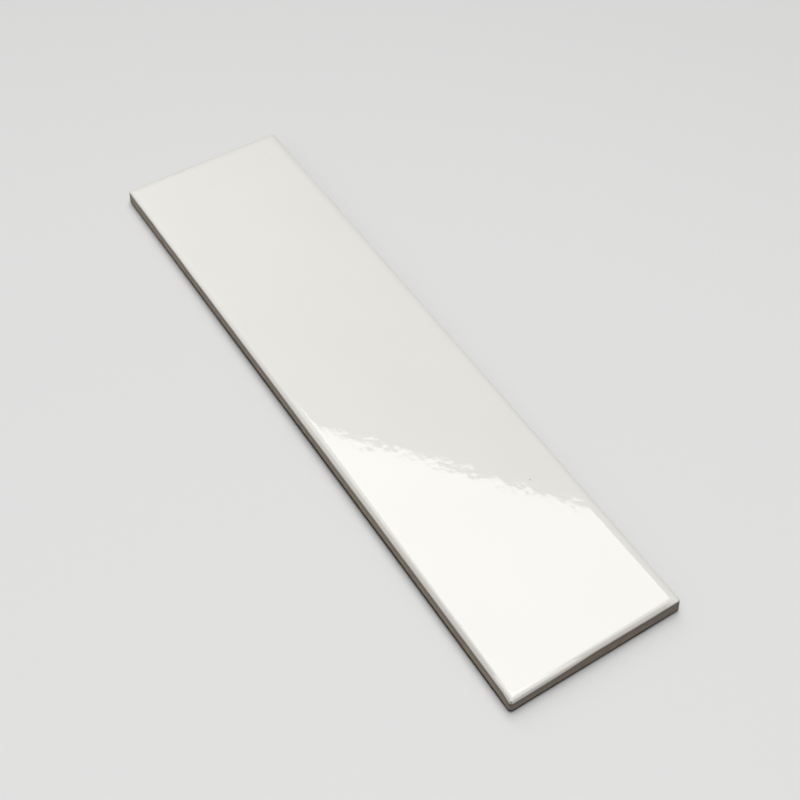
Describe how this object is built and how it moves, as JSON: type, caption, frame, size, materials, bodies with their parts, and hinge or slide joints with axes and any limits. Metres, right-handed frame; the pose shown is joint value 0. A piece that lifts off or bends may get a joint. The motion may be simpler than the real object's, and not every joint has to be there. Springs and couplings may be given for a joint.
{
  "type": "subway wall tile",
  "caption": "Long, thin rectangular glazed ceramic wall tile with a cushioned border, small rounded corners and a keyed back for adhesive.",
  "frame": {"origin": "middle of the back plane, which is the plane the tile lies on", "axes": "+X along the length, +Y across the width, +Z through the thickness, out of the glazed face"},
  "size_m": [0.2998, 0.0748, 0.008],
  "materials": {
    "glazed_clay": "glossy off-white glaze on the face and its border, run thin over the top of the walls; bare fired clay on the rest of the walls and on the back"
  },
  "bodies": {
    "root": {"tile": "glazed_clay"}
  },
  "joints": []
}
